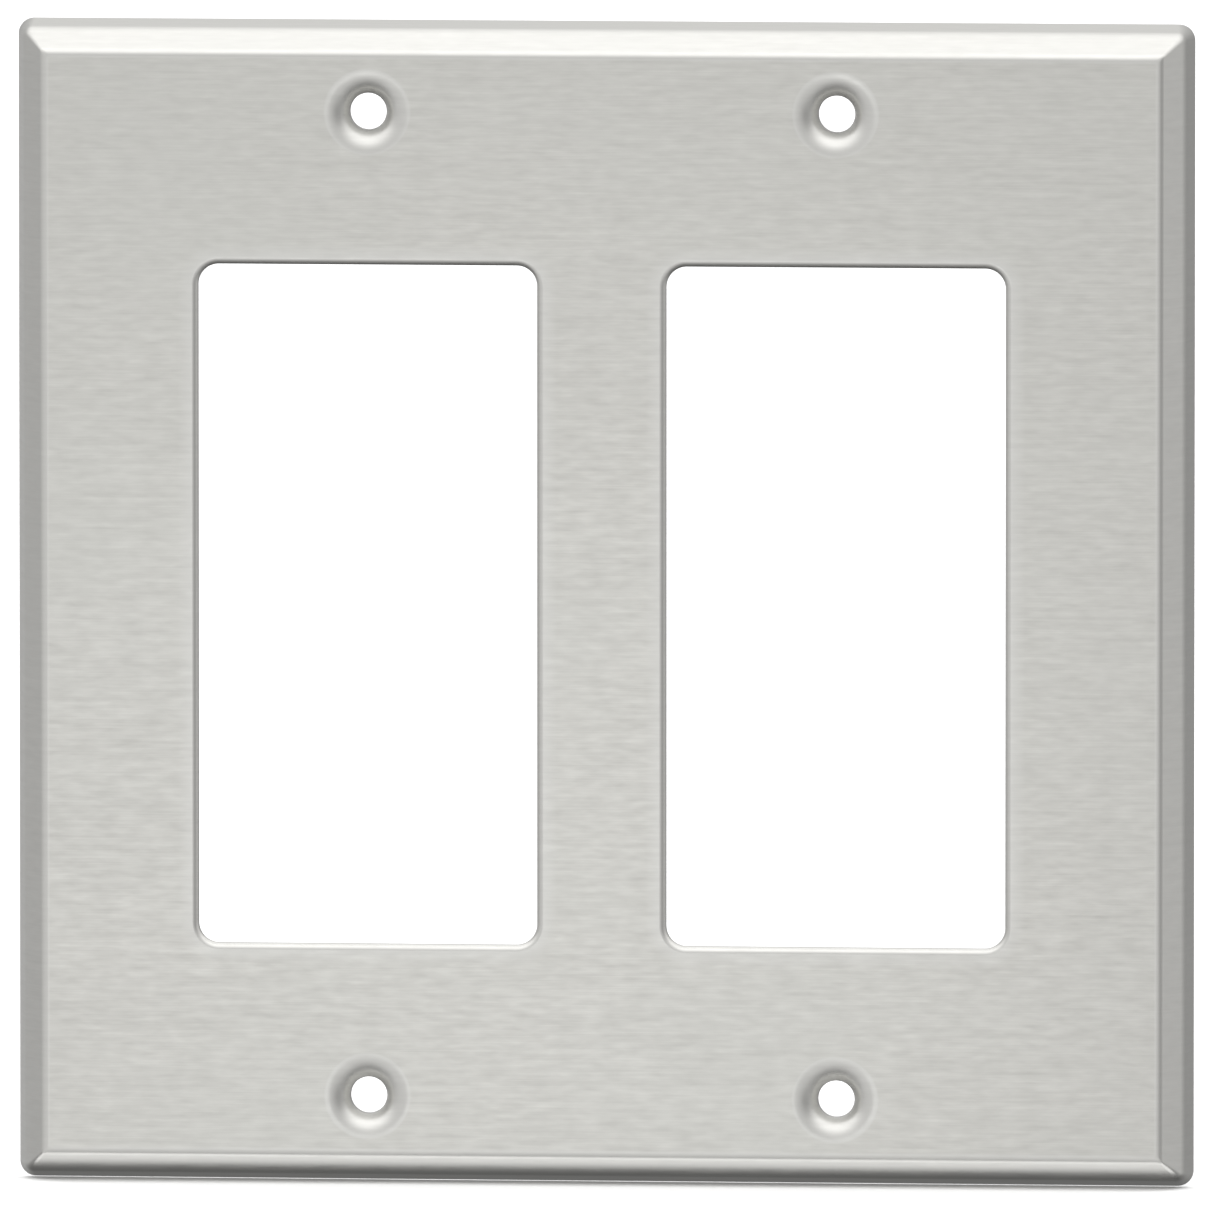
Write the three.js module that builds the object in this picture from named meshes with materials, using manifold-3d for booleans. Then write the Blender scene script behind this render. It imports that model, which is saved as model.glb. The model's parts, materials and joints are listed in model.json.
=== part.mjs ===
// Two-gang wall plate with decorator openings, stamped from one sheet of stainless steel.
// Millimetres. The plate stands as it does on a wall: +X to the right, +Y into the wall, +Z up.
// The origin is the centre of the plane in which the plate's rim meets the wall.
//
// Every bent edge is described by its side view, a line of (run, height) points: height is
// measured from the wall plane towards the room, and run is measured along the face.

import * as THREE from 'three';
import { mergeVertices } from 'three/addons/utils/BufferGeometryUtils.js';
import Module from 'manifold-3d';

const wasm = await Module();
wasm.setup();

// Sheet and outline
const PLATE_WIDTH = 115.8;
const PLATE_HEIGHT = 114.3;
const PLATE_DEPTH = 5.6;
const SHEET_THICKNESS = 0.8;

// Edge of the plate: a short skirt on the wall, then a bevel up to the face
const SKIRT_HEIGHT = 2.8;
const SKIRT_DRAFT = 0.8;
const BEVEL_RUN = 2.9;
const SKIRT_BEND_RADIUS = 3.0;
const FACE_BEND_RADIUS = 1.0;
const RIM_CORNER_RADIUS = 1.6;
const MITRE_CORNER_RADIUS = 0.3;
const MITRE_RUN = 1.4;

// Device openings, one for each gang
const GANG_PITCH = 46.04;
const OPENING_WIDTH = 33.3;
const OPENING_HEIGHT = 66.8;
const OPENING_CORNER_RADIUS = 2.0;
const OPENING_EDGE_ROLL = 0.7;

// Screw dimples, above and below each opening, for an oval-head screw
const SCREW_PITCH = 96.84;
const SCREW_HOLE_DIAMETER = 3.6;
const DIMPLE_DIAMETER = 6.0;
const COUNTERSINK_ANGLE = 82;
const DIMPLE_BEND_RADIUS = 2.5;

// Facets
const CORNER_STEPS = 6;
const BEND_STEPS = 4;
const DIMPLE_SEGMENTS = 32;

// How far a cutting solid reaches past the surface that it cuts
const CLEARANCE = 1;

const gangCentres = [-GANG_PITCH / 2, GANG_PITCH / 2];
const screwHeights = [-SCREW_PITCH / 2, SCREW_PITCH / 2];

// Unit vector that points from a sheet's front surface to its back, where the surface runs at this slope.
function behind(slope) {
  return new THREE.Vector2(Math.sin(slope), -Math.cos(slope));
}

// Side view of one surface of the bent sheet. It climbs from startHeight along the first slope, takes a
// bend at each later corner and ends where the last bend meets the flat face. The corners and bend radii
// are the front surface's, and offset is how far behind it the wanted surface lies.
function bentLine(corners, bendRadii, offset, startHeight) {
  const slopes = corners.slice(1).map((corner, i) => corner.clone().sub(corners[i]).angle());
  slopes.push(0);
  const foot = corners[0].clone().addScaledVector(behind(slopes[0]), offset);
  const uphill = new THREE.Vector2(Math.cos(slopes[0]), Math.sin(slopes[0]));
  const points = [foot.clone().addScaledVector(uphill, (startHeight - foot.y) / uphill.y)];
  bendRadii.forEach((radius, i) => {
    const [before, after] = [slopes[i], slopes[i + 1]];
    const towardsCentre = behind(before).add(behind(after));
    const reach = radius / (1 + Math.cos(before - after));
    const centre = corners[i + 1].clone().addScaledVector(towardsCentre, reach);
    for (let step = 0; step <= BEND_STEPS; step += 1) {
      const slope = THREE.MathUtils.lerp(before, after, step / BEND_STEPS);
      points.push(centre.clone().addScaledVector(behind(slope), offset - radius));
    }
  });
  return points;
}

// Outline of a rounded rectangle that lies parallel to the wall, anticlockwise as seen from the room.
function roundedRectangle(width, height, radius, distanceFromWall) {
  const points = [];
  for (let corner = 0; corner < 4; corner += 1) {
    const side = corner === 0 || corner === 3 ? 1 : -1;
    const level = corner < 2 ? 1 : -1;
    for (let step = 0; step <= CORNER_STEPS; step += 1) {
      const angle = (corner + step / CORNER_STEPS) * Math.PI / 2;
      points.push(new THREE.Vector3(
        side * (width / 2 - radius) + radius * Math.cos(angle),
        -distanceFromWall,
        level * (height / 2 - radius) + radius * Math.sin(angle),
      ));
    }
  }
  return points;
}

// Closed geometry through outlines of equal length, given from the wall side to the room side.
function loft(outlines) {
  const count = outlines[0].length;
  const last = (outlines.length - 1) * count;
  const triangles = [];
  for (let i = 0; i < count; i += 1) {
    const next = (i + 1) % count;
    for (let ring = 0; ring < last; ring += count) {
      triangles.push(ring + i, ring + next, ring + count + next);
      triangles.push(ring + i, ring + count + next, ring + count + i);
    }
  }
  for (let i = 1; i < count - 1; i += 1) {
    triangles.push(0, i + 1, i);
    triangles.push(last, last + i, last + i + 1);
  }
  const geometry = new THREE.BufferGeometry().setFromPoints(outlines.flat());
  geometry.setIndex(triangles);
  return geometry;
}

// Solid of revolution about an axis square to the wall, from a side view of (radius, height) points.
function turned(profile) {
  return new THREE.LatheGeometry(profile, DIMPLE_SEGMENTS).rotateX(Math.PI);
}

// Closed three.js geometry as a manifold solid.
function solidFrom(geometry) {
  geometry.deleteAttribute('normal');
  geometry.deleteAttribute('uv');
  const merged = mergeVertices(geometry);
  const triangles = [];
  for (let i = 0; i < merged.index.count; i += 3) {
    const [a, b, c] = merged.index.array.slice(i, i + 3);
    if (a !== b && b !== c && c !== a) {
      triangles.push(a, b, c);
    }
  }
  return new wasm.Manifold(new wasm.Mesh({
    numProp: 3,
    vertProperties: new Float32Array(merged.attributes.position.array),
    triVerts: new Uint32Array(triangles),
  }));
}

function geometryFrom(solid) {
  const mesh = solid.getMesh();
  const geometry = new THREE.BufferGeometry();
  geometry.setAttribute('position', new THREE.BufferAttribute(mesh.vertProperties, mesh.numProp));
  geometry.setIndex(new THREE.BufferAttribute(mesh.triVerts, 1));
  geometry.computeVertexNormals();
  return geometry;
}

// The plate's corners are round at the rim and soon tighten to the mitres where the bevels meet.
function plateCornerRadius(run) {
  const share = THREE.MathUtils.clamp(run / MITRE_RUN, 0, 1);
  return THREE.MathUtils.lerp(RIM_CORNER_RADIUS, MITRE_CORNER_RADIUS, share);
}

// The pan shape under one surface of the sheet: front surface at offset 0, back surface at the thickness.
function pan(offset, startHeight) {
  const corners = [
    new THREE.Vector2(0, 0),
    new THREE.Vector2(SKIRT_DRAFT, SKIRT_HEIGHT),
    new THREE.Vector2(BEVEL_RUN, PLATE_DEPTH),
  ];
  const line = bentLine(corners, [SKIRT_BEND_RADIUS, FACE_BEND_RADIUS], offset, startHeight);
  return solidFrom(loft(line.map(({ x: run, y: height }) => roundedRectangle(
    PLATE_WIDTH - 2 * run,
    PLATE_HEIGHT - 2 * run,
    Math.max(plateCornerRadius(run - offset) - offset, MITRE_CORNER_RADIUS),
    height,
  ))));
}

// What is punched out for one device: straight through the sheet, with the edge rolled over at the front.
function openingPunch(x) {
  const corners = [new THREE.Vector2(0, 0), new THREE.Vector2(0, PLATE_DEPTH)];
  const line = bentLine(corners, [OPENING_EDGE_ROLL], 0, -CLEARANCE);
  const rolled = line[line.length - 1];
  line.push(new THREE.Vector2(rolled.x, PLATE_DEPTH + CLEARANCE));
  return solidFrom(loft(line.map(({ x: run, y: height }) => roundedRectangle(
    OPENING_WIDTH + 2 * run,
    OPENING_HEIGHT + 2 * run,
    OPENING_CORNER_RADIUS + run,
    height,
  )))).translate([x, 0, 0]);
}

// Front surface of a dimple, from the edge of the screw hole out to the face.
const countersinkSlope = THREE.MathUtils.degToRad(90 - COUNTERSINK_ANGLE / 2);
const dimpleDepth = (DIMPLE_DIAMETER - SCREW_HOLE_DIAMETER) / 2 * Math.tan(countersinkSlope);
const dimpleCorners = [
  new THREE.Vector2(SCREW_HOLE_DIAMETER / 2, PLATE_DEPTH - dimpleDepth),
  new THREE.Vector2(DIMPLE_DIAMETER / 2, PLATE_DEPTH),
];

// The sheet that a dimple pushes out at the back of the plate.
function dimpleBack(x, z) {
  const tip = PLATE_DEPTH - dimpleDepth - SHEET_THICKNESS;
  const insideSheet = PLATE_DEPTH - SHEET_THICKNESS / 2;
  const line = bentLine(dimpleCorners, [DIMPLE_BEND_RADIUS], SHEET_THICKNESS, tip);
  const outer = line[line.length - 1];
  return solidFrom(turned([
    new THREE.Vector2(0, tip),
    ...line,
    new THREE.Vector2(outer.x, insideSheet),
    new THREE.Vector2(0, insideSheet),
  ])).translate([x, 0, z]);
}

// What a dimple takes away: the screw hole and the countersink with its softly drawn edge.
function dimplePunch(x, z) {
  const line = bentLine(dimpleCorners, [DIMPLE_BEND_RADIUS], 0, dimpleCorners[0].y);
  const outer = line[line.length - 1];
  return solidFrom(turned([
    new THREE.Vector2(0, -CLEARANCE),
    new THREE.Vector2(SCREW_HOLE_DIAMETER / 2, -CLEARANCE),
    ...line,
    new THREE.Vector2(outer.x, PLATE_DEPTH + CLEARANCE),
    new THREE.Vector2(0, PLATE_DEPTH + CLEARANCE),
  ])).translate([x, 0, z]);
}

function wallPlate() {
  let sheet = pan(0, 0).subtract(pan(SHEET_THICKNESS, -CLEARANCE));
  for (const x of gangCentres) {
    sheet = sheet.subtract(openingPunch(x));
    for (const z of screwHeights) {
      sheet = sheet.add(dimpleBack(x, z)).subtract(dimplePunch(x, z));
    }
  }
  const brushedStainless = new THREE.MeshStandardMaterial({
    color: 0xc6c6c1,
    metalness: 1,
    roughness: 0.35,
  });
  const mesh = new THREE.Mesh(geometryFrom(sheet), brushedStainless);
  mesh.name = 'wall_plate';
  return mesh;
}

const group = new THREE.Group();
group.add(wallPlate());

export default group;
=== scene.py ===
"""Two-gang decorator wall plate in brushed stainless steel, on a pale floor in soft studio light.

Metres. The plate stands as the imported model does: +X to the right, +Y into the wall, +Z up.
Every edge of the sheet is described by its side view, a line of (run, height) points: height is
measured from the wall plane towards the room, and run is measured along the face.
"""

import json
from math import atan2, cos, pi, radians, sin, tan

import bmesh
import bpy
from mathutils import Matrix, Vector
from mathutils.geometry import tessellate_polygon


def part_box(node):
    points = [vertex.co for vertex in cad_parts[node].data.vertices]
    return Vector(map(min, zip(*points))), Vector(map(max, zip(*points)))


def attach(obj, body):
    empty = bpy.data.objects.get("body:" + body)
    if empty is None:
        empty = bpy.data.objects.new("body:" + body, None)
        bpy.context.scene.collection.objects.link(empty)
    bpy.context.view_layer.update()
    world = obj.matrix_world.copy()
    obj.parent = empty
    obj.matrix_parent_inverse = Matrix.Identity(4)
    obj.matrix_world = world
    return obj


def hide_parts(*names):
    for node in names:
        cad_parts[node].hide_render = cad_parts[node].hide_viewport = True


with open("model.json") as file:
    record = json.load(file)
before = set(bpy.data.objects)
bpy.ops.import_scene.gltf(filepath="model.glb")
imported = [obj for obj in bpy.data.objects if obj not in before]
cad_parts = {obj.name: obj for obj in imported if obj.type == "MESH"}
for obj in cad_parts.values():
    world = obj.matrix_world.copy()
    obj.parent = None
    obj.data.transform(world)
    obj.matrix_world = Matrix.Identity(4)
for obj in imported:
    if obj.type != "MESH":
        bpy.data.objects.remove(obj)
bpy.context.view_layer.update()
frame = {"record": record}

MM = 0.001
plate_low, plate_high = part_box("wall_plate")

# Sheet and outline
PLATE_WIDTH = plate_high.x - plate_low.x
PLATE_HEIGHT = plate_high.z - plate_low.z
PLATE_DEPTH = plate_high.y - plate_low.y
SHEET_THICKNESS = 0.8 * MM
CUT_EDGE_ROUND = 0.08 * MM

# Edge of the plate: a short skirt on the wall, then a bevel up to the face
SKIRT_HEIGHT = 2.8 * MM
SKIRT_DRAFT = 0.8 * MM
BEVEL_RUN = 2.9 * MM
SKIRT_BEND_RADIUS = 3.0 * MM
FACE_BEND_RADIUS = 1.0 * MM
RIM_CORNER_RADIUS = 1.6 * MM
MITRE_CORNER_RADIUS = 0.3 * MM
MITRE_RUN = 1.4 * MM

# Device openings, one for each gang
OPENING_WIDTH = 33.3 * MM
OPENING_HEIGHT = 66.8 * MM
OPENING_CORNER_RADIUS = 2.0 * MM
OPENING_EDGE_ROLL = 0.7 * MM

# Screw dimples, above and below each opening
SCREW_PITCH = 96.84 * MM
SCREW_HOLE_DIAMETER = 3.6 * MM
DIMPLE_DIAMETER = 6.0 * MM
COUNTERSINK_ANGLE = radians(82)
DIMPLE_BEND_RADIUS = 2.5 * MM

# The dies rub the brushing brighter on what they form, and for this far on to the flat face; the lighter
# steel there is also painted sheen where the formed edges catch light
RIM_RUBBED_AND_SHEEN_WIDTH = 0.2 * MM
OPENING_RUBBED_AND_SHEEN_WIDTH = 1.3 * MM
DIMPLE_RUBBED_AND_SHEEN_WIDTH = 0.2 * MM

# Steps in each round stretch
CORNER_STEPS = 14
BEND_STEPS = 12
ROUND_STEPS = 3
DIMPLE_SEGMENTS = 96

# Material slots of the sheet
FRONT, BACK, CUT = range(3)

# Marks in the steel: how long and how high each kind is, laid on the flat sheet
HAIRLINES = (9.0 * MM, 0.12 * MM)
FINE_LINES = (7.0 * MM, 0.42 * MM)
STROKES = (2.4 * MM, 0.65 * MM)
BANDS = (30.0 * MM, 1.6 * MM)
CLOUDS = (34.0 * MM, 20.0 * MM)
ROLLING_LINES = (60.0 * MM, 0.5 * MM)
MILL_GRAIN = (0.35 * MM, 0.35 * MM)
MILL_PATCHES = (16.0 * MM, 12.0 * MM)
SHEAR_TEARS = (0.15 * MM, 0.15 * MM)
BRUSHING_DEPTH = 0.0035 * MM
MILL_DEPTH = 0.006 * MM
TEAR_DEPTH = 0.01 * MM

# Most of a noise texture lies in this range
NOISE_RANGE = (0.3, 0.7)

# Steel colours: the brushed front, the mill finish inside and the cut edges
DARK_STEEL = (0.67, 0.66, 0.625, 1)
LIGHT_STEEL = (0.855, 0.845, 0.805, 1)
CLOUDED_STEEL = (0.76, 0.765, 0.725, 1)
# Lighter steel where the sheet is formed: rubbed by the dies, and painted sheen where the edges catch
# light
RUBBED_AND_SHEEN_STEEL = (0.86, 0.855, 0.83, 1)
DULL_MILL = (0.68, 0.68, 0.665, 1)
BRIGHT_MILL = (0.76, 0.76, 0.75, 1)
DARK_CUT = (0.58, 0.575, 0.56, 1)
LIGHT_CUT = (0.70, 0.695, 0.68, 1)

# Camera, with the width of the view at the plate and how far its middle lies from the origin
CAMERA_AZIMUTH = radians(5.0)
CAMERA_ELEVATION = radians(5.0)
CAMERA_LENS = 1000
CAMERA_SENSOR = 36
FRAME_WIDTH = 119.15 * MM
AIM_RIGHT = 0.08 * MM
AIM_UP = -0.53 * MM

# Studio: brightness of the surroundings, by degrees up from the front and by degrees to the right of it
UPWARDS = [
    (-180, 0.50), (-150, 0.16), (-110, 0.08), (-88, 0.12), (-62, 0.32), (-42, 0.65), (-22, 0.76),
    (0, 0.60), (14, 0.585), (30, 0.80), (44, 1.22), (56, 1.38), (78, 1.36), (96, 1.26), (120, 1.10),
    (145, 0.58), (180, 0.50),
]
SIDEWAYS = [
    (-180, 0.50), (-150, 0.46), (-106, 0.47), (-80, 0.54), (-50, 0.61), (-20, 0.65), (0, 0.61),
    (10, 0.585), (24, 0.47), (45, 0.26), (65, 0.31), (88, 0.57), (104, 0.57), (116, 0.44), (130, 0.33),
    (143, 0.29), (158, 0.34), (180, 0.50),
]

# How many times as much the upwards brightness counts as the sideways one, halfway between the two
UPWARDS_WEIGHT = 3.0

# A colour ramp holds at most 1, so it holds the brightness as a share of this
WORLD_PEAK = 2.0

# Keeps a share of two lengths defined where both are zero
NEARLY_ZERO = 0.0001

# Soft boxes: name, place, what it faces, size, brightness, colour, and whether the metal mirrors it
SOFT_BOXES = [
    ("front_box", (-0.043, -0.355, -0.056), (-0.013, 0, -0.026), (0.14, 0.11), 0.42, (0.98, 1, 1), True),
    ("foot_box", (0, -0.0051, -0.0571), (0, -0.0046, 0), (0.116, 0.0030), 0.9, (1, 1, 1), True),
    ("floor_box", (0, 0, 2.0), (0, 0.01, -0.057), (6.0, 6.0), 0.7, (1, 1, 1), False),
]
FLOOR_SIZE = 14.0
FLOOR_GAP = 0.05 * MM
FLOOR_COLOUR = (0.93, 0.93, 0.93, 1.0)
WHITE = (1.0, 1.0, 1.0, 1.0)


# ---------------------------------------------------------------- side views

def behind(slope):
    """Unit vector from a sheet's front surface to its back, where the surface runs at this slope."""
    return Vector((sin(slope), -cos(slope)))


def bent_line(corners, radii, offset, start_height):
    """Side view of one surface of the sheet, climbing along the first slope to the flat face."""
    slopes = [atan2(b.y - a.y, b.x - a.x) for a, b in zip(corners, corners[1:])] + [0.0]
    foot = corners[0] + behind(slopes[0]) * offset
    along = Vector((cos(slopes[0]), sin(slopes[0])))
    points = [foot + along * ((start_height - foot.y) / along.y)]
    for corner, radius, before, after in zip(corners[1:], radii, slopes, slopes[1:]):
        reach = radius / (1 + cos(before - after))
        centre = corner + (behind(before) + behind(after)) * reach
        for step in range(BEND_STEPS + 1):
            slope = before + (after - before) * step / BEND_STEPS
            points.append(centre + behind(slope) * (offset - radius))
    return points


def softened(before, corner, after):
    """Points that take a sharp corner round, instead of through it."""
    start = corner + (before - corner).normalized() * CUT_EDGE_ROUND
    end = corner + (after - corner).normalized() * CUT_EDGE_ROUND
    steps = [step / ROUND_STEPS for step in range(ROUND_STEPS + 1)]
    return [start * (1 - t) ** 2 + corner * (2 * t * (1 - t)) + end * t ** 2 for t in steps]


def free_edge(front, corners, back, kinds):
    """Line round a free edge of the sheet, from its flat front to its flat back.

    front and back lead away from the edge, and corners lie between them. kinds names the surface
    up to the first corner and after each corner. Returns (point, kind of the stretch after it).
    """
    line = [(point, FRONT) for point in reversed(front)]
    line[-1] = (front[0], kinds[0])
    for i, corner in enumerate(corners):
        before = line[-1][0] if i == 0 else corners[i - 1]
        after = corners[i + 1] if i + 1 < len(corners) else back[0]
        arc = softened(before, corner, after)
        line += [(point, CUT) for point in arc[:-1]] + [(arc[-1], kinds[i + 1])]
    return line + [(point, BACK) for point in back]


def rim_edge():
    corners = [
        Vector((0.0, 0.0)),
        Vector((SKIRT_DRAFT, SKIRT_HEIGHT)),
        Vector((BEVEL_RUN, PLATE_DEPTH)),
    ]
    radii = [SKIRT_BEND_RADIUS, FACE_BEND_RADIUS]
    front = bent_line(corners, radii, 0.0, 0.0)
    back = bent_line(corners, radii, SHEET_THICKNESS, 0.0)
    return free_edge(front[1:], [front[0], back[0]], back[1:], [FRONT, CUT, BACK])


def opening_edge():
    back_height = PLATE_DEPTH - SHEET_THICKNESS
    corners = [Vector((0.0, 0.0)), Vector((0.0, PLATE_DEPTH))]
    front = bent_line(corners, [OPENING_EDGE_ROLL], 0.0, back_height)
    back = [Vector((OPENING_EDGE_ROLL, back_height))]
    return free_edge(front[1:], [front[0]], back, [CUT, BACK])


def dimple_edge():
    hole_radius = SCREW_HOLE_DIAMETER / 2
    mouth_radius = DIMPLE_DIAMETER / 2
    depth = (mouth_radius - hole_radius) / tan(COUNTERSINK_ANGLE / 2)
    corners = [Vector((hole_radius, PLATE_DEPTH - depth)), Vector((mouth_radius, PLATE_DEPTH))]
    tip = PLATE_DEPTH - depth - SHEET_THICKNESS
    front = bent_line(corners, [DIMPLE_BEND_RADIUS], 0.0, corners[0].y)
    back = bent_line(corners, [DIMPLE_BEND_RADIUS], SHEET_THICKNESS, tip)
    turns = [front[0], Vector((hole_radius, tip)), back[0]]
    return free_edge(front[1:], turns, back[1:], [FRONT, CUT, BACK, BACK])


# ---------------------------------------------------------------- plan views

def rounded_rectangle(half_width, half_height, radius):
    """(point, outward direction) pairs once round a rectangle with round corners, in plan."""
    loop = []
    for corner in range(4):
        side = 1 if corner in (0, 3) else -1
        level = 1 if corner < 2 else -1
        centre = Vector((side * (half_width - radius), level * (half_height - radius)))
        for step in range(CORNER_STEPS + 1):
            angle = (corner + step / CORNER_STEPS) * pi / 2
            outward = Vector((cos(angle), sin(angle)))
            loop.append((centre + outward * radius, outward))
    return loop


def rim_outline(run, kind):
    """The plate's outline at this run. Its corners are roundest at the rim and tighten inwards."""
    offset = {FRONT: 0.0, CUT: min(run, SHEET_THICKNESS), BACK: SHEET_THICKNESS}[kind]
    share = min((run - offset) / MITRE_RUN, 1.0)
    radius = RIM_CORNER_RADIUS + (MITRE_CORNER_RADIUS - RIM_CORNER_RADIUS) * share - offset
    radius = max(radius, MITRE_CORNER_RADIUS)
    return rounded_rectangle(PLATE_WIDTH / 2 - run, PLATE_HEIGHT / 2 - run, radius)


def opening_outline(run, kind):
    half_width = OPENING_WIDTH / 2 + run
    half_height = OPENING_HEIGHT / 2 + run
    return rounded_rectangle(half_width, half_height, OPENING_CORNER_RADIUS + run)


def dimple_outline(run, kind):
    angles = [2 * pi * i / DIMPLE_SEGMENTS for i in range(DIMPLE_SEGMENTS)]
    directions = [Vector((cos(angle), sin(angle))) for angle in angles]
    return [(direction * run, direction) for direction in directions]


# ---------------------------------------------------------------- the sheet

class Sheet:
    """Vertices and faces of the formed sheet while it is drawn.

    Each vertex also has its place on the flat sheet before it was formed, in metres, and how much
    lighter its steel is there, from 0 to 1: rubbed by the dies, and painted sheen where the formed edges
    catch light.
    """

    def __init__(self):
        self.points, self.flat, self.rubbed_and_sheen = [], [], []
        self.faces, self.kinds = [], []
        self.front_loops, self.back_loops = [], []

    def ring(self, outline, centre, height, slack, rubbed_and_sheen):
        first = len(self.points)
        for place, outward in outline:
            x, z = centre + place
            self.points.append((x, -height, z))
            self.flat.append(centre + place + outward * slack)
            self.rubbed_and_sheen.append(rubbed_and_sheen)
        return list(range(first, len(self.points)))

    def strip(self, ring, following, kind):
        for i, vertex in enumerate(ring):
            j = (i + 1) % len(ring)
            self.faces.append((vertex, ring[j], following[j], following[i]))
            self.kinds.append(kind)

    def edge(self, line, outline, centre, away, rubbed_and_sheen_width):
        """Sweeps a side view round an outline. away is 1 if the edge lies outside the face, or -1."""
        face_run, face_height = line[0][0]
        margin = self.ring(outline(face_run + rubbed_and_sheen_width, FRONT), centre, face_height, 0.0, 0.0)
        self.front_loops.append(margin)
        ring, kind_before, length, point_before = margin, FRONT, 0.0, line[0][0]
        for point, kind in line:
            length += (point - point_before).length
            slack = away * (length - abs(face_run - point.x))
            # Each formed ring gets the full lighter steel: die rubbing and painted sheen
            following = self.ring(outline(point.x, kind), centre, point.y, slack, 1.0)
            self.strip(ring, following, kind_before)
            ring, kind_before, point_before = following, kind, point
        self.back_loops.append(ring)

    def fill(self, loops, kind):
        """Flat face inside the first loop and outside the others."""
        places = [[Vector(self.points[i]) for i in loop] for loop in loops]
        vertices = [i for loop in loops for i in loop]
        for triangle in tessellate_polygon(places):
            self.faces.append(tuple(vertices[i] for i in triangle))
            self.kinds.append(kind)

    def mesh(self, name):
        mesh = bpy.data.meshes.new(name)
        mesh.from_pydata(self.points, [], self.faces)
        mesh.polygons.foreach_set("material_index", self.kinds)
        flat = mesh.uv_layers.new(name="flat_sheet")
        for loop in mesh.loops:
            flat.uv[loop.index].vector = self.flat[loop.vertex_index]
        rubbed_and_sheen = mesh.attributes.new("rubbed_and_sheen", "FLOAT", "POINT")
        rubbed_and_sheen.data.foreach_set("value", self.rubbed_and_sheen)
        facing = bmesh.new()
        facing.from_mesh(mesh)
        bmesh.ops.recalc_face_normals(facing, faces=facing.faces)
        facing.to_mesh(mesh)
        facing.free()
        mesh.shade_smooth()
        return mesh


def gang_centres():
    """Where the devices' centres lie along the plate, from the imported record's openings."""
    boxes = {o["name"]: o["box_m"] for o in frame["record"]["physics"]["openings"]}
    return [(boxes[name][0][0] + boxes[name][1][0]) / 2 for name in ("left_opening", "right_opening")]


def plate_sheet():
    sheet = Sheet()
    sheet.edge(rim_edge(), rim_outline, Vector((0.0, 0.0)), 1, RIM_RUBBED_AND_SHEEN_WIDTH)
    for x in gang_centres():
        sheet.edge(opening_edge(), opening_outline, Vector((x, 0.0)), -1, OPENING_RUBBED_AND_SHEEN_WIDTH)
        for z in (-SCREW_PITCH / 2, SCREW_PITCH / 2):
            sheet.edge(dimple_edge(), dimple_outline, Vector((x, z)), -1, DIMPLE_RUBBED_AND_SHEEN_WIDTH)
    sheet.fill(sheet.front_loops, FRONT)
    sheet.fill(sheet.back_loops, BACK)
    plate = bpy.data.objects.new("wall_plate_sheet", sheet.mesh("wall_plate_sheet"))
    bpy.context.collection.objects.link(plate)
    for material in (brushed_front(), mill_back(), cut_edges()):
        plate.data.materials.append(material)
    plate.modifiers.new("even_shading", "WEIGHTED_NORMAL")
    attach(plate, "root")
    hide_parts("wall_plate")
    return plate


# ---------------------------------------------------------------- materials

class Nodes:
    """Short ways to add nodes to a node tree."""

    def __init__(self, tree):
        self.tree = tree

    def put(self, socket, value):
        """Links the socket to the value if that is a socket, or else sets it."""
        if isinstance(value, bpy.types.NodeSocket):
            self.tree.links.new(value, socket)
        else:
            socket.default_value = value

    def node(self, kind, inputs, **settings):
        """A node with its settings, and its inputs by name or number as values or links."""
        node = self.tree.nodes.new("ShaderNode" + kind)
        for key, value in settings.items():
            setattr(node, key, value)
        for key, value in inputs.items():
            self.put(node.inputs[key], value)
        return node


class Shader(Nodes):
    """A metal material while it is drawn."""

    def __init__(self, name):
        self.material = bpy.data.materials.new(name)
        self.material.use_nodes = True
        super().__init__(self.material.node_tree)
        self.metal = self.tree.nodes["Principled BSDF"]
        self.metal.inputs["Metallic"].default_value = 1.0
        self.flat = self.node("UVMap", {}, uv_map="flat_sheet").outputs["UV"]

    def set(self, **inputs):
        for name, value in inputs.items():
            self.put(self.metal.inputs[name.replace("_", " ")], value)

    def noise(self, size, detail=2.0, shift=0.0):
        """Noise from 0 to 1 on the flat sheet, with blotches this long and this high in metres."""
        along, across = size
        place = self.node("Mapping", {
            "Vector": self.flat,
            "Location": (shift, shift, shift),
            "Scale": (1 / along, 1 / across, 1.0),
        })
        blotches = {"Vector": place.outputs[0], "Scale": 1.0, "Detail": detail}
        return self.node("TexNoise", blotches).outputs["Fac"]

    def ranged(self, value, low, high, source=NOISE_RANGE):
        """The value moved from its source range to low..high."""
        return self.node("MapRange", {
            "Value": value,
            "From Min": source[0],
            "From Max": source[1],
            "To Min": low,
            "To Max": high,
        }).outputs[0]

    def mixed(self, data_type, socket_type, share, a, b):
        """Between a, at share 0, and b, at share 1."""
        made = self.node("Mix", {0: share}, data_type=data_type)
        ends = [socket for socket in made.inputs[1:] if socket.type == socket_type]
        self.put(ends[0], a)
        self.put(ends[1], b)
        return [socket for socket in made.outputs if socket.type == socket_type][0]

    def mix(self, a, b, share):
        return self.mixed("FLOAT", "VALUE", share, a, b)

    def blend(self, share, a, b):
        return self.mixed("RGBA", "RGBA", share, a, b)

    def bump(self, height, distance):
        self.set(Normal=self.node("Bump", {"Height": height, "Distance": distance}).outputs[0])


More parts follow.
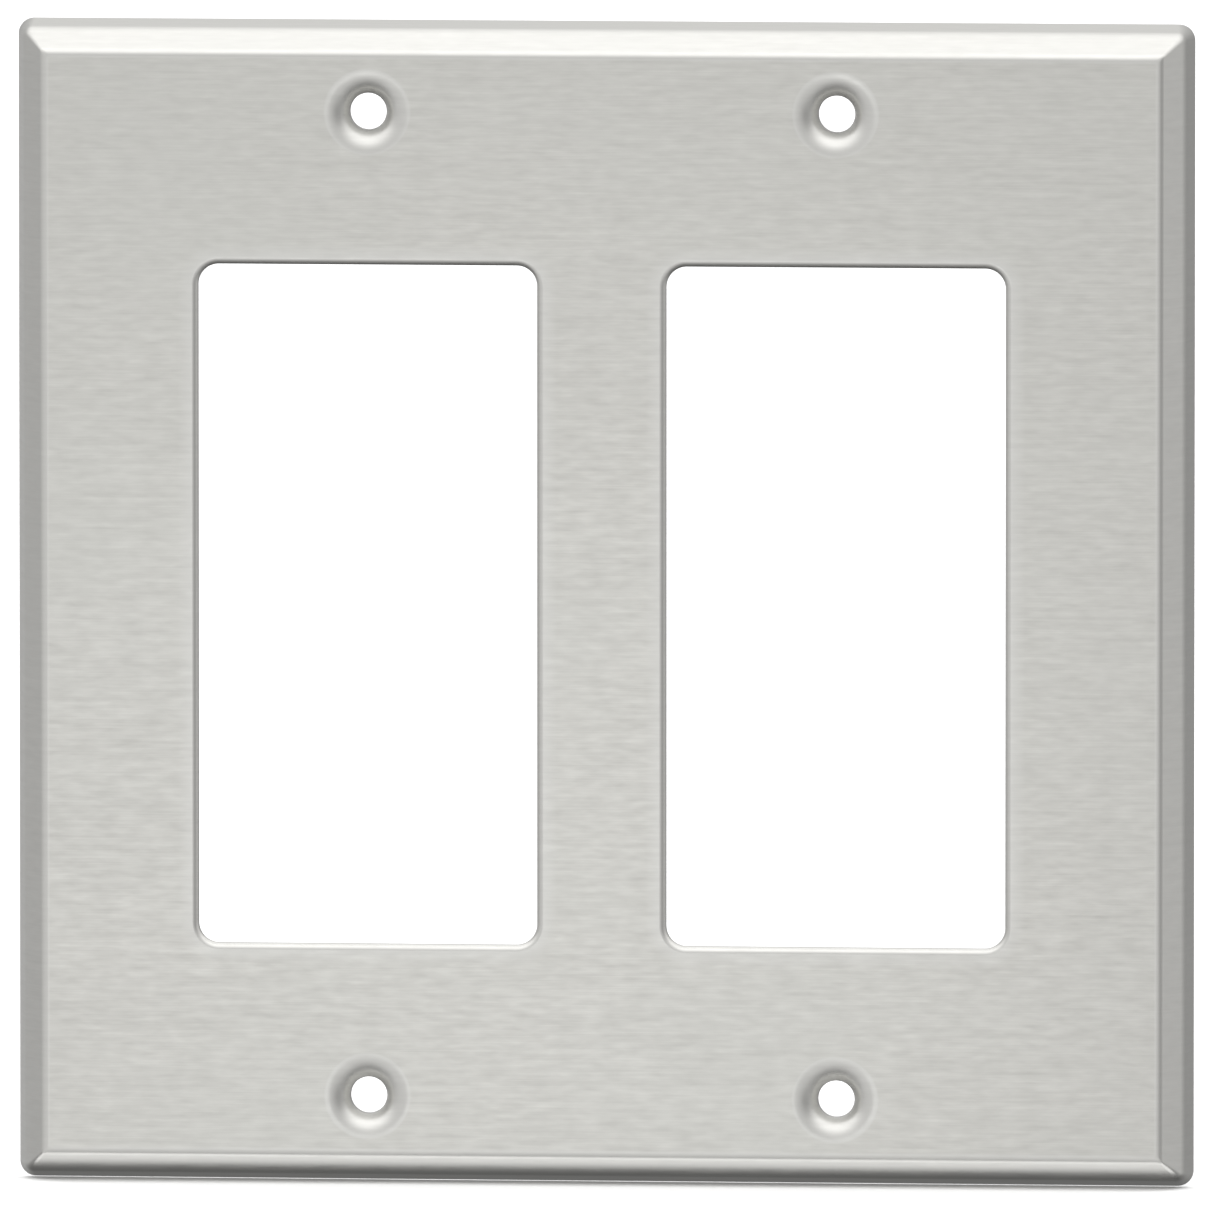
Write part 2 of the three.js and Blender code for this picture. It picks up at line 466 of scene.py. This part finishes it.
def brushed_front():
    """Horizontally brushed satin: fine lines of uneven length in faintly clouded steel."""
    shader = Shader("brushed_front")
    hairlines = shader.noise(HAIRLINES)
    lines = shader.noise(FINE_LINES, shift=3.1)
    strokes = shader.noise(STROKES, shift=5.9)
    bands = shader.noise(BANDS, shift=7.7)
    clouds = shader.noise(CLOUDS, shift=1.3)
    rubbed_and_sheen = shader.node("Attribute", {}, attribute_name="rubbed_and_sheen").outputs["Fac"]
    brushing = shader.mix(hairlines, lines, 0.5)
    tone = shader.mix(brushing, shader.mix(strokes, bands, 0.25), 0.55)
    steel = shader.blend(shader.ranged(tone, 0.0, 1.0), DARK_STEEL, LIGHT_STEEL)
    cloudy = shader.blend(shader.ranged(clouds, 0.0, 0.35), steel, CLOUDED_STEEL)
    # Base colour is lighter on the formed edges and on a band beside them: die rubbing and painted sheen
    shader.set(
        Base_Color=shader.blend(shader.ranged(rubbed_and_sheen, 0.0, 0.5, (0.0, 1.0)), cloudy, RUBBED_AND_SHEEN_STEEL),
        Roughness=shader.ranged(tone, 0.36, 0.28),
        Anisotropic=0.5,
        Anisotropic_Rotation=0.25,
        Tangent=shader.node("Tangent", {}, direction_type="UV_MAP", uv_map="flat_sheet").outputs[0],
    )
    shader.bump(brushing, BRUSHING_DEPTH)
    return shader.material


def mill_back():
    """Plain mill finish: dull, with faint rolling lines and small dull patches."""
    shader = Shader("mill_back")
    rolling = shader.noise(ROLLING_LINES, shift=4.4)
    grain = shader.noise(MILL_GRAIN, shift=2.2)
    patches = shader.noise(MILL_PATCHES, detail=4.0, shift=9.1)
    texture = shader.mix(rolling, grain, 0.65)
    shader.set(
        Base_Color=shader.blend(shader.ranged(patches, 0.0, 1.0), DULL_MILL, BRIGHT_MILL),
        Roughness=shader.ranged(patches, 0.34, 0.44),
    )
    shader.bump(texture, MILL_DEPTH)
    return shader.material


def cut_edges():
    """Sheared edges: a little darker and rougher than the faces."""
    shader = Shader("cut_edges")
    tears = shader.noise(SHEAR_TEARS, shift=5.2)
    shader.set(
        Base_Color=shader.blend(shader.ranged(tears, 0.0, 1.0), DARK_CUT, LIGHT_CUT),
        Roughness=shader.ranged(tears, 0.36, 0.5),
    )
    shader.bump(tears, TEAR_DEPTH)
    return shader.material


# ---------------------------------------------------------------- studio

def camera_axes():
    """Unit vectors towards the camera, to its right and upwards in its picture."""
    level = cos(CAMERA_ELEVATION)
    towards = Vector((sin(CAMERA_AZIMUTH) * level, -cos(CAMERA_AZIMUTH) * level, sin(CAMERA_ELEVATION)))
    right = Vector((cos(CAMERA_AZIMUTH), sin(CAMERA_AZIMUTH), 0.0))
    return towards, right, towards.cross(right)


def make_camera():
    towards, right, up = camera_axes()
    data = bpy.data.cameras.new("camera")
    data.lens = CAMERA_LENS
    data.sensor_width = CAMERA_SENSOR
    data.clip_end = FLOOR_SIZE
    camera = bpy.data.objects.new("camera", data)
    distance = FRAME_WIDTH * CAMERA_LENS / CAMERA_SENSOR
    camera.location = right * AIM_RIGHT + up * AIM_UP + towards * distance
    camera.rotation_euler = (-towards).to_track_quat("-Z", "Y").to_euler()
    bpy.context.collection.objects.link(camera)
    bpy.context.scene.camera = camera


def soft_box(name, place, target, size, brightness, colour, mirrored):
    width, height = size
    data = bpy.data.lights.new(name, "AREA")
    data.shape = "RECTANGLE"
    data.size = width
    data.size_y = height
    data.energy = brightness * width * height * pi
    data.color = colour
    light = bpy.data.objects.new(name, data)
    light.location = place
    light.rotation_euler = (Vector(target) - Vector(place)).to_track_quat("-Z", "Y").to_euler()
    light.visible_camera = False
    light.visible_glossy = mirrored
    bpy.context.collection.objects.link(light)


class Surroundings(Nodes):
    """The world's node tree while it is drawn."""

    def __init__(self):
        world = bpy.data.worlds.new("studio")
        bpy.context.scene.world = world
        world.use_nodes = True
        super().__init__(world.node_tree)
        self.tree.nodes.clear()

    def math(self, operation, a, b):
        return self.node("Math", {0: a, 1: b}, operation=operation).outputs[0]

    def ramp(self, angle, stops):
        """Brightness at this angle in radians, for stops of (degrees, brightness) from -180 to 180."""
        turn = self.math("ADD", self.math("DIVIDE", angle, 2 * pi), 0.5)
        made = self.node("ValToRGB", {"Fac": turn})
        elements = made.color_ramp.elements
        for degrees, brightness in stops[1:-1]:
            elements.new(degrees / 360 + 0.5)
        for element, (degrees, brightness) in zip(elements, stops):
            element.color = (brightness / WORLD_PEAK,) * 3 + (1.0,)
        return self.math("MULTIPLY", made.outputs["Color"], WORLD_PEAK)

    def studio(self):
        """Brightness by direction: upwards and sideways from the front, and a blend in between."""
        place = self.node("TexCoord", {}).outputs["Generated"]
        x, y, z = self.node("SeparateXYZ", {0: place}).outputs
        front = self.math("MULTIPLY", y, -1.0)
        upwards = self.ramp(self.math("ARCTAN2", z, front), UPWARDS)
        sideways = self.ramp(self.math("ARCTAN2", x, front), SIDEWAYS)
        across = self.math("POWER", x, 2.0)
        along = self.math("MULTIPLY", self.math("POWER", z, 2.0), UPWARDS_WEIGHT)
        off_axis = self.math("ADD", self.math("ADD", across, along), NEARLY_ZERO)
        change = self.math("SUBTRACT", sideways, upwards)
        change = self.math("MULTIPLY", change, self.math("DIVIDE", across, off_axis))
        return self.math("ADD", upwards, change)

    def background(self, brightness):
        return self.node("Background", {"Color": WHITE, "Strength": brightness}).outputs[0]


def make_world():
    """Soft studio surroundings: bright overhead, dark below, and white where the camera looks past."""
    world = Surroundings()
    lit = world.background(world.studio())
    seen = world.node("LightPath", {}).outputs["Is Camera Ray"]
    choice = world.node("MixShader", {0: seen, 1: lit, 2: world.background(1.0)})
    world.node("OutputWorld", {"Surface": choice.outputs[0]})


def make_floor():
    data = bpy.data.meshes.new("floor")
    half = FLOOR_SIZE / 2
    corners = [(-half, -half), (half, -half), (half, half), (-half, half)]
    level = plate_low.z - FLOOR_GAP
    data.from_pydata([(x, y, level) for x, y in corners], [], [(0, 1, 2, 3)])
    floor = bpy.data.objects.new("floor", data)
    paper = bpy.data.materials.new("white_paper")
    paper.use_nodes = True
    shader = paper.node_tree.nodes["Principled BSDF"]
    shader.inputs["Base Color"].default_value = FLOOR_COLOUR
    shader.inputs["Roughness"].default_value = 1.0
    shader.inputs["Specular IOR Level"].default_value = 0.0
    data.materials.append(paper)
    floor.visible_glossy = False
    bpy.context.collection.objects.link(floor)


def make_lights():
    for settings in SOFT_BOXES:
        soft_box(*settings)


make_camera()
make_world()
make_floor()
make_lights()
plate_sheet()
bpy.context.scene.view_settings.view_transform = "Standard"
